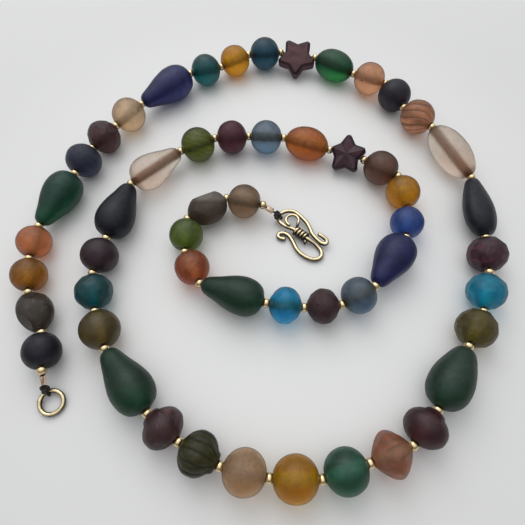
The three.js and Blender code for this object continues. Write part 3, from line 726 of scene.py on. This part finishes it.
def bead_piece(bead, outline, material, settings, reshape=None, segments=64):
    """Turns an outline about the bore, reshapes it, and closes it with the bore's own wall."""
    bore = settings.bore / 2
    start, end = outline[0][0] + 0.25 * MM, outline[-1][0] - 0.25 * MM
    rings = outline + [(end, bore * 0.94), (0.0, bore * 0.92), (start, bore * 0.94)]
    outer = len(outline)
    vertices = []
    for ring, (along, radius) in enumerate(rings):
        for k in range(segments):
            angle = 2 * math.pi * k / segments
            y, z = radius * math.cos(angle), radius * math.sin(angle)
            x = along
            if ring < outer and radius > bore * 1.02:
                fade = min((radius - bore) / (bead.half_width * 0.35), 1.0)
                if reshape:
                    nx, ny, nz = reshape(x, y, z, angle)
                    x, y, z = x + (nx - x) * fade, y + (ny - y) * fade, z + (nz - z) * fade
                seed = Vector((bead.index * 7.3, 3.1, -bead.index * 2.7))
                swell = noise.noise(Vector((x, y, z)) / (5.5 * MM) + seed)
                ripple = noise.noise(Vector((x, y, z)) / (2.2 * MM) + seed)
                wander = settings.unevenness * (swell + 0.25 * ripple - 0.45) / bead.half_width
                push = 1 + min(fade * wander, 0.0)
                x, y, z = x * push, y * push, z * push
            vertices.append(bead.world(x, y, z))
    faces = []
    for ring in range(len(rings)):
        low = ring * segments
        high = ((ring + 1) % len(rings)) * segments
        for k in range(segments):
            following = (k + 1) % segments
            faces.append((low + k, low + following, high + following, high + k))
    piece = new_piece("glass_" + bead.node, vertices, faces, material)
    bead.mark(piece, bore * 0.97)
    return piece


def facet_planes(seed, count):
    """Directions spread evenly over a ball, each nudged a little."""
    noise.seed_set(FLATS_SEED)
    planes = []
    for i in range(count):
        z = 1 - 2 * (i + 0.5) / count
        turn = i * GOLDEN_TURN + seed
        ring = math.sqrt(1 - z * z)
        nudge = noise.noise_vector(Vector((i * 1.7, seed * 3.3, 0.5))) * 0.18
        planes.append((Vector((ring * math.cos(turn), ring * math.sin(turn), z)) + nudge).normalized())
    return planes


def ground_flat(bead, count):
    """Grinds worn flats on a bead: every point past a plane is laid most of the way back onto it."""
    planes = facet_planes(bead.index * 0.77, count)

    def reshape(x, y, z, angle):
        point = Vector((x / bead.half_length, y / bead.half_width, z / bead.half_width))
        for plane in planes:
            over = point.dot(plane) - FACET_DEPTH
            if over > 0:
                point -= plane * over * 0.9
        return point.x * bead.half_length, point.y * bead.half_width, point.z * bead.half_width

    return reshape


class Ribs:
    """Valleys running from one end of a bead to the other, each pressed in and marked for the painted shade
    in it.
    """

    def __init__(self, bead, form):
        self.bead = bead
        self.count, self.depth, self.twist, self.narrowness = form

    def valley(self, x, angle):
        turned = angle + self.twist * x / self.bead.half_length
        return (1 - abs(math.sin(self.count / 2 * turned))) ** self.narrowness

    def reshape(self, x, y, z, angle):
        share = 1 - self.depth * self.valley(x, angle)
        return x, y * share, z * share

    def mark(self, piece):
        depths = []
        for vertex in piece.data.vertices:
            x, y, z = self.bead.local(vertex.co)
            wall = math.hypot(y, z) < 0.3 * self.bead.half_width
            depths.append(0.0 if wall else self.valley(x, math.atan2(z, y)))
        store(piece, "groove_shade", depths)


MATERIALS = {}
JUNCTIONS = string_junctions()


def glass_for(bead, settings):
    names = (f"{bead.glass}_{bead.index + 1}", f"{bead.glass}_{bead.shape}", bead.glass)
    name = next(n for n in names if n in GLASSES)
    if name not in MATERIALS:
        MATERIALS[name] = frosted_glass(name, settings)
    return MATERIALS[name]


def glass_bead(bead, outline, settings, reshape=None, segments=64, ribs=None):
    """Makes one turned bead in its own glass and hands it over."""
    piece = bead_piece(bead, outline, glass_for(bead, settings), settings, reshape, segments)
    if ribs:
        ribs.mark(piece)
    hand_over(piece, bead.node)


def beads_of(*shapes):
    made = [Bead(i, JUNCTIONS) for i in range(len(BEAD_NODES))]
    return [bead for bead in made if bead.shape in shapes]


class NECKLACE_OT_round_beads(bpy.types.Operator):
    """Round, oval and long beads of tumbled glass"""

    bl_idname = "necklace.round_beads"
    bl_label = "Round Beads"

    def execute(self, context):
        settings = context.scene.necklace_glass
        for bead in beads_of("round", "oval", "long"):
            glass_bead(bead, ball_outline(bead, settings.bore / 2), settings)
        return {"FINISHED"}


class NECKLACE_OT_faceted_beads(bpy.types.Operator):
    """Round beads with ground flats, and the copper bicone"""

    bl_idname = "necklace.faceted_beads"
    bl_label = "Faceted Beads"

    def execute(self, context):
        settings = context.scene.necklace_glass
        for bead in beads_of("faceted"):
            ground = ground_flat(bead, PLUM_FLATS if bead.glass == "plum_brown" else FACET_FLATS)
            glass_bead(bead, ball_outline(bead, settings.bore / 2, 56), settings, ground, 96)
        for bead in beads_of("bicone"):
            outline = drawn_outline(bead, settings.bore / 2, "bicone")
            side = 2 * math.pi / BICONE_SIDES

            def flat_sides(x, y, z, angle):
                share = math.cos(side / 2) / math.cos((angle % side) - side / 2)
                return x, y * share, z * share

            glass_bead(bead, outline, settings, flat_sides, 100)
        return {"FINISHED"}


class NECKLACE_OT_teardrop_beads(bpy.types.Operator):
    """Teardrops, the egg, the flat teardrop and the lantern beads"""

    bl_idname = "necklace.teardrop_beads"
    bl_label = "Teardrop Beads"

    def execute(self, context):
        settings = context.scene.necklace_glass
        bore = settings.bore / 2
        for bead in beads_of("teardrop", "egg", "lantern"):
            outline = drawn_outline(bead, bore, bead.shape)
            if bead.glass == "dark_olive":
                ribs = Ribs(bead, LANTERN_RIBS)
                glass_bead(bead, outline, settings, ribs.reshape, 144, ribs)
            else:
                glass_bead(bead, outline, settings)
        for bead in beads_of("flat_teardrop"):
            outline = drawn_outline(bead, bore, "egg")
            roll = Matrix.Rotation(PRESSED_ROLL, 3, "X")

            def press(x, y, z, angle):
                return tuple(roll @ Vector((x, y, z * PRESSED_SHARE)))

            glass_bead(bead, outline, settings, press)
        return {"FINISHED"}


class NECKLACE_OT_fancy_beads(bpy.types.Operator):
    """The ribbed melon bead, the nuggets and the two stars"""

    bl_idname = "necklace.fancy_beads"
    bl_label = "Fancy Beads"

    def execute(self, context):
        settings = context.scene.necklace_glass
        bore = settings.bore / 2
        for bead in beads_of("melon"):
            ribs = Ribs(bead, MELON_RIBS)
            glass_bead(bead, ball_outline(bead, bore), settings, ribs.reshape, 192, ribs)
        for bead in beads_of("nugget"):
            flats = NUGGET_FLATS[bead.index]

            def lobes(x, y, z, angle):
                share = (1 - NUGGET_LOBE * math.cos(3 * angle)) / (1 + NUGGET_LOBE)
                point = Vector((x, y * share, z * share))
                for facing, depth in flats:
                    normal = Vector(facing).normalized()
                    over = point.dot(normal) / bead.half_width - depth
                    if over > 0:
                        point -= normal * over * bead.half_width * 0.97
                return tuple(point)

            glass_bead(bead, ball_outline(bead, bore, 80), settings, lobes, 128)
        for bead in beads_of("star"):
            piece = self.soft_star(bead, glass_for(bead, settings))
            hand_over(piece, bead.node)
        return {"FINISHED"}

    def soft_star(self, bead, material):
        """A star with worn edges and arms that fall from a ridge, from the solid's own outline."""
        piece, facing = solid_copy("glass_" + bead.node, bead.node, material, 0.03)
        grid = piece.modifiers.new("grid", "REMESH")
        grid.mode = "VOXEL"
        grid.voxel_size = 0.15 * MM
        worn = piece.modifiers.new("worn", "SMOOTH")
        worn.factor = 0.5
        worn.iterations = 5
        bake_modifiers(piece, bead)
        turn, (along, beside), fall = STARS[bead.index]
        aside = facing.cross(bead.axis).normalized()
        middle = bead.centre + (bead.axis * along + aside * beside) * MM
        edges = []
        tilts = [abs(vertex.normal.dot(facing)) for vertex in piece.data.vertices]
        for vertex, tilt in zip(piece.data.vertices, tilts):
            offset = vertex.co - middle
            x, y, z = offset.dot(bead.axis), offset.dot(aside), offset.dot(facing)
            angle = (math.atan2(y, x) - math.radians(turn)) % STAR_STEP
            from_ridge = min(angle, STAR_STEP - angle)
            drop = min(math.hypot(x, y) * math.sin(from_ridge) * fall, 0.9 * MM)
            if abs(z) > STAR_CORE:
                share = min((abs(z) - STAR_CORE) / MM, 1)
                vertex.co -= facing * math.copysign(drop * share, z)
            # The sloping edges between the star's faces are marked for painted shade.
            edges.append(max(0.0, 1 - abs(tilt - 0.7) / 0.32))
        piece.data.update()
        store(piece, "groove_shade", edges)
        return piece


def bake_modifiers(piece, bead=None):
    """Replaces a piece's mesh by what its modifiers make of it."""
    graph = bpy.context.evaluated_depsgraph_get()
    result = bpy.data.meshes.new_from_object(piece.evaluated_get(graph))
    piece.modifiers.clear()
    piece.data = result
    result.polygons.foreach_set("use_smooth", [True] * len(result.polygons))
    if bead:
        bead.mark(piece, STAR_HOLE)


def ball_tree(material, settings):
    """Geometry nodes: a gold ball on every point, turned along the thread."""
    tree = bpy.data.node_groups.new("gold_balls", "GeometryNodeTree")
    sockets = (
        ("Geometry", "INPUT", "Geometry", None),
        ("Ball Diameter", "INPUT", "Float", settings.ball_diameter),
        ("Length Share", "INPUT", "Float", BALL_LENGTH_SHARE),
        ("Geometry", "OUTPUT", "Geometry", None),
    )
    for name, way, kind, value in sockets:
        socket = tree.interface.new_socket(name, in_out=way, socket_type="NodeSocket" + kind)
        if value is not None:
            socket.default_value = value
    link = tree.links.new
    kinds = ("NodeGroupInput", "NodeGroupOutput", "ShaderNodeMath", "GeometryNodeMeshUVSphere",
             "ShaderNodeCombineXYZ", "GeometryNodeInputNamedAttribute", "FunctionNodeAlignRotationToVector",
             "GeometryNodeInstanceOnPoints", "GeometryNodeRealizeInstances", "GeometryNodeSetShadeSmooth",
             "GeometryNodeSetMaterial")
    inlet, outlet, half, ball, shape, along, turn, place, real, smooth, paint = map(tree.nodes.new, kinds)
    half.operation = "MULTIPLY"
    half.inputs[1].default_value = 0.5
    link(inlet.outputs["Ball Diameter"], half.inputs[0])
    ball.inputs["Segments"].default_value = 28
    ball.inputs["Rings"].default_value = 16
    link(half.outputs[0], ball.inputs["Radius"])
    shape.inputs[0].default_value = 1.0
    shape.inputs[1].default_value = 1.0
    link(inlet.outputs["Length Share"], shape.inputs[2])
    along.data_type = "FLOAT_VECTOR"
    along.inputs["Name"].default_value = "along"
    turn.axis = "Z"
    link(along.outputs[0], turn.inputs["Vector"])
    link(inlet.outputs["Geometry"], place.inputs["Points"])
    link(ball.outputs["Mesh"], place.inputs["Instance"])
    link(turn.outputs[0], place.inputs["Rotation"])
    link(shape.outputs[0], place.inputs["Scale"])
    link(place.outputs[0], real.inputs[0])
    link(real.outputs[0], smooth.inputs[0])
    paint.inputs["Material"].default_value = material
    link(smooth.outputs[0], paint.inputs[0])
    link(paint.outputs[0], outlet.inputs[0])
    return tree


def knot_path(centre, along, scale):
    """A closed overhand knot, as a cord is tied."""
    side = Vector((0, 0, 1)).cross(along).normalized()
    up = along.cross(side)
    path = []
    for i in range(60):
        t = 2 * math.pi * i / 60
        x = math.sin(t) + 2 * math.sin(2 * t)
        y = math.cos(t) - 2 * math.cos(2 * t)
        z = -math.sin(3 * t)
        path.append(centre + (along * x * 0.38 + side * y * 0.38 + up * z * 0.45) * scale)
    return path


def ring_frame():
    """The ring's middle, its tie direction on the surface and its tilted tie direction."""
    low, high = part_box("ring")
    flat = Vector((math.cos(RING_TIE_ANGLE), math.sin(RING_TIE_ANGLE), 0))
    tilted = (flat * math.cos(RING_TILT) + Vector((0, 0, 1)) * math.sin(RING_TILT)).normalized()
    return (low + high) / 2, flat, tilted


def hook_shift():
    """From the laid route's millimetres to the row's frame."""
    path = smooth_path([Vector(p) for p in HOOK_ROUTE], 6)
    low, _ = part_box("s_hook")
    radius = HOOK_WIRE / 2
    mine = Vector((min(p.x for p in path), min(p.y for p in path), min(p.z for p in path)))
    return low / MM - mine + Vector((radius, radius, radius))


def placed(points, shift):
    return [(Vector(p) + shift) * MM for p in points]


class NECKLACE_OT_string(bpy.types.Operator):
    """The black thread, its knots and loops, and the gold balls"""

    bl_idname = "necklace.string"
    bl_label = "Thread And Balls"

    def execute(self, context):
        metals = context.scene.necklace_metal
        thread = black_thread()
        ends = []
        ring_middle, ring_flat, ring_tilted = ring_frame()
        ring_wire = ring_middle + ring_tilted * RING_RADIUS * MM
        ends.append((ring_wire, Vector((-ring_flat.y, ring_flat.x, 0)), RING_WIRE, ring_flat))
        hook = placed(HOOK_ROUTE, hook_shift())
        wire_along = (hook[HOOK_TIE + 1] - hook[HOOK_TIE - 1]).normalized()
        out = Vector((wire_along.y, -wire_along.x, 0)).normalized()
        ends.append((hook[HOOK_TIE], wire_along, HOOK_WIRE, out))
        vertices, faces = [], []
        knots = []

        def join(part):
            base = len(vertices)
            vertices.extend(part[0])
            faces.extend(tuple(i + base for i in face) for face in part[1])

        for wire, along, thickness, out in ends:
            loop_radius = (thickness / 2 + LOOP_GAP + THREAD / 2) * MM
            up = Vector((0, 0, 1))
            side = along.cross(up).normalized()
            loop = [
                wire + (side * math.cos(a) + up * math.sin(a)) * loop_radius
                for a in (2 * math.pi * i / 40 for i in range(40))
            ]
            join(tube(loop, lambda t: THREAD / 2 * MM, 12, closed=True))
            lift = (thickness / 2 + LOOP_GAP + KNOT_LIFT) * MM
            knot = wire + Vector((out.x * 0.2, out.y * 0.2, 0.98)) * lift
            knots.append(knot)
            join(tube(knot_path(knot, out, 0.92 * MM), lambda t: 0.46 * MM, 12, closed=True))
        path = [knots[0]] + JUNCTIONS + [knots[1]]
        join(tube(path, lambda t: THREAD / 2 * MM, 12))
        cord = new_piece("thread_and_knots", vertices, faces, thread)
        hand_over(cord, "string")
        points = bpy.data.meshes.new("ball_points")
        spots = [point.copy() for point in JUNCTIONS]
        spots[-1] += (knots[1] - JUNCTIONS[-1]).normalized() * LAST_BALL_SHIFT
        points.from_pydata([tuple(p) for p in spots], [], [])
        along = points.attributes.new("along", "FLOAT_VECTOR", "POINT")
        flow = []
        for before, after in zip(path, path[2:]):
            flow.extend((after - before).normalized())
        along.data.foreach_set("vector", flow)
        balls = bpy.data.objects.new("gold_balls", points)
        context.scene.collection.objects.link(balls)
        # The balls are darkened on their sides and undersides: painted shade standing for the dark beads
        # that they reflect.
        gold = metal("bright_gold", metals.gold, 0.17, 0.8, (0.14, 0.08, 0.025, 1), 0.2, 0.5)
        tree = ball_tree(gold, metals)
        points.materials.append(gold)
        growth = balls.modifiers.new("balls", "NODES")
        growth.node_group = tree
        context.view_layer.update()
        bake_modifiers(balls)
        mark_tarnish_and_shade(balls)
        hand_over(balls, "string")
        return {"FINISHED"}


class NECKLACE_OT_findings(bpy.types.Operator):
    """The crimps, the soldered ring, the hook and the wire wound round it"""

    bl_idname = "necklace.findings"
    bl_label = "Crimps, Ring And Hook"

    def execute(self, context):
        metals = context.scene.necklace_metal
        # The brass is darkened on its sides, underneath and between the wound turns: dark oxide and painted
        # shade.
        brass = metal("brass_oxide_and_shade", metals.brass, 0.26, 0.92)
        copper = metal("rose_gold", metals.copper, 0.26)
        self.make_ring(brass)
        self.make_hook(brass)
        for node in ("crimp_ring_end", "crimp_hook_end"):
            self.make_crimp(node, copper)
        return {"FINISHED"}

    def make_ring(self, brass):
        middle, flat, tilted = ring_frame()
        side = Vector((-flat.y, flat.x, 0))
        path = []
        for i in range(96):
            angle = 2 * math.pi * i / 96
            wobble = 1 + 0.012 * math.sin(3 * angle + 1)
            outward = tilted * math.cos(angle) + side * math.sin(angle)
            path.append(middle + outward * RING_RADIUS * MM * wobble)

        def thickness(t):
            lump = math.exp(-(((t - 0.17) / 0.03) ** 2))
            return (RING_WIRE / 2 + WORN_THICKER) * MM * (1 + 0.2 * lump)

        vertices, faces = tube(path, thickness, 20, closed=True)
        ring = new_piece("soldered_ring", above_surface(vertices), faces, brass)
        mark_tarnish_and_shade(ring)
        hand_over(ring, "ring")

    def make_hook(self, brass):
        shift = hook_shift()
        path = smooth_path(placed(HOOK_ROUTE, shift), 10)
        vertices, faces = rounded_tube(path, (HOOK_WIRE / 2 + WORN_THICKER) * MM, 20)
        hook = new_piece("bent_hook", above_surface(vertices), faces, brass)
        mark_tarnish_and_shade(hook)
        hand_over(hook, "s_hook")
        points = []
        eye = (EYE_DIAMETER - WRAP_WIRE) / 2
        for i in range(23):
            angle = math.radians(250 + (-25 - 250) * i / 22)
            points.append(EYE_CENTRE + Vector((math.cos(angle), math.sin(angle), 0)) * eye)
        along = (SHANK_END - SHANK_START).normalized()
        up = Vector((0, 0, 1))
        side = up.cross(along)
        coil = HOOK_WIRE / 2 + COIL_GAP + WRAP_WIRE / 2
        steps = int(WRAP_TURNS * 18)
        for i in range(steps + 1):
            angle = 2 * math.pi * i / 18
            spot = SHANK_START.lerp(SHANK_END, i / steps)
            points.append(spot + side * coil * math.cos(angle) - up * coil * math.sin(angle))
        points.append(WRAP_END)
        path = smooth_path(placed(points, shift), 3)
        wrap = new_piece("wound_wire", *rounded_tube(path, WRAP_WIRE / 2 * MM, 14), brass)
        first, last = placed([SHANK_START, SHANK_END], shift)
        mark_tarnish_and_shade(wrap, (first, last, (HOOK_WIRE / 2 + COIL_GAP + WRAP_WIRE) * MM))
        hand_over(wrap, "wrap_wire")

    def make_crimp(self, node, copper):
        """A copy of the crimp's solid with softened edges."""
        piece, _ = solid_copy("pressed_" + node, node, copper, 0.02)
        edge = piece.modifiers.new("edge", "BEVEL")
        edge.width = 0.07 * MM
        edge.segments = 2
        edge.angle_limit = 0.6
        bake_modifiers(piece)
        hand_over(piece, node)


class NECKLACE_OT_stage(bpy.types.Operator):
    """Pale surface, soft light and the camera"""

    bl_idname = "necklace.stage"
    bl_label = "Surface, Light And Camera"

    def execute(self, context):
        settings = context.scene.necklace_stage
        paint = Painter("pale_surface")
        where = paint.place()
        tone = paint.slope(paint.noise(where, 9, 2), 0.3, 0.7)
        base = settings.surface
        colour = paint.blend(tone, (*base, 1), opaque(base, 0.985))
        # Painted light: the surface is lightened towards the middle, where the necklace lies, to offset the
        # shade that the beads cast there.
        reach = paint.add("ShaderNodeVectorMath", operation="LENGTH")
        paint.link(where, reach.inputs[0])
        near = paint.slope(reach.outputs["Value"], 0.135, 0.05)
        colour = paint.blend(near, colour, opaque(base, 1.12))
        paint.link(colour, paint.shader.inputs["Base Color"])
        paint.shader.inputs["Roughness"].default_value = 0.8
        paint.shader.inputs["Specular IOR Level"].default_value = 0.2
        signs = ((-1, -1), (1, -1), (1, 1), (-1, 1))
        corners = [(x * SURFACE_REACH, y * SURFACE_REACH, -0.1 * MM) for x, y in signs]
        floor = new_piece("surface", corners, [(0, 1, 2, 3)], paint.material)
        world = bpy.data.worlds.new("even_light")
        world.use_nodes = True
        tree = world.node_tree
        sky = tree.nodes["Background"]
        sky.inputs["Color"].default_value = (0.97, 0.985, 1.0, 1)
        where = tree.nodes.new("ShaderNodeTexCoord")
        facing = tree.nodes.new("ShaderNodeVectorMath")
        facing.operation = "DOT_PRODUCT"
        facing.inputs[1].default_value = (-0.1, 0.42, 0.9)
        fall = tree.nodes.new("ShaderNodeMapRange")
        fall.interpolation_type = "SMOOTHSTEP"
        spans = (("From Min", 0.15), ("From Max", 1.0), ("To Min", settings.sky * 0.3),
                 ("To Max", settings.sky * 1.52))
        for key, value in spans:
            fall.inputs[key].default_value = value
        tree.links.new(where.outputs["Generated"], facing.inputs[0])
        tree.links.new(facing.outputs["Value"], fall.inputs["Value"])
        tree.links.new(fall.outputs["Result"], sky.inputs["Strength"])
        context.scene.world = world
        lamp = bpy.data.lights.new("back_light", "AREA")
        lamp.energy = settings.back_light
        lamp.shape = "DISK"
        lamp.size = 0.5
        holder = bpy.data.objects.new("back_light", lamp)
        holder.location = BACK_LIGHT_PLACE
        holder.rotation_euler = (-Vector(BACK_LIGHT_PLACE)).to_track_quat("-Z", "Y").to_euler()
        context.scene.collection.objects.link(holder)
        camera = bpy.data.cameras.new("photograph_view")
        camera.lens = VIEW_LENS
        camera.sensor_width = 36
        camera.clip_start = 0.005
        holder = bpy.data.objects.new("photograph_view", camera)
        holder.location = VIEW_POINT
        holder.rotation_euler = (VIEW_TILT, 0, 0)
        context.scene.collection.objects.link(holder)
        context.scene.camera = holder
        context.scene.view_settings.view_transform = "Standard"
        return {"FINISHED"}


class NECKLACE_PT_panel(bpy.types.Panel):
    """Lists the necklace's makers and settings"""

    bl_idname = "NECKLACE_PT_panel"
    bl_label = "Beaded Necklace"
    bl_space_type = "VIEW_3D"
    bl_region_type = "UI"
    bl_category = "Necklace"

    def draw(self, context):
        for kind in OPERATORS:
            self.layout.operator(kind.bl_idname)
        for group in GROUPS:
            box = self.layout.box()
            settings = getattr(context.scene, group)
            for name in settings.bl_rna.properties.keys():
                if name not in ("rna_type", "name"):
                    box.prop(settings, name)


OPERATORS = (
    NECKLACE_OT_stage,
    NECKLACE_OT_round_beads,
    NECKLACE_OT_faceted_beads,
    NECKLACE_OT_teardrop_beads,
    NECKLACE_OT_fancy_beads,
    NECKLACE_OT_string,
    NECKLACE_OT_findings,
)
GROUPS = {
    "necklace_glass": NecklaceGlass,
    "necklace_metal": NecklaceMetal,
    "necklace_stage": NecklaceStage,
}
CLASSES = tuple(GROUPS.values()) + OPERATORS + (NECKLACE_PT_panel,)


def register():
    for kind in CLASSES:
        bpy.utils.register_class(kind)
    for name, group in GROUPS.items():
        setattr(bpy.types.Scene, name, bpy.props.PointerProperty(type=group))


def unregister():
    for name in GROUPS:
        delattr(bpy.types.Scene, name)
    for kind in reversed(CLASSES):
        bpy.utils.unregister_class(kind)


def main():
    register()
    bpy.ops.necklace.stage()
    bpy.ops.necklace.round_beads()
    bpy.ops.necklace.faceted_beads()
    bpy.ops.necklace.teardrop_beads()
    bpy.ops.necklace.fancy_beads()
    bpy.ops.necklace.string()
    bpy.ops.necklace.findings()


if __name__ == "__main__":
    main()
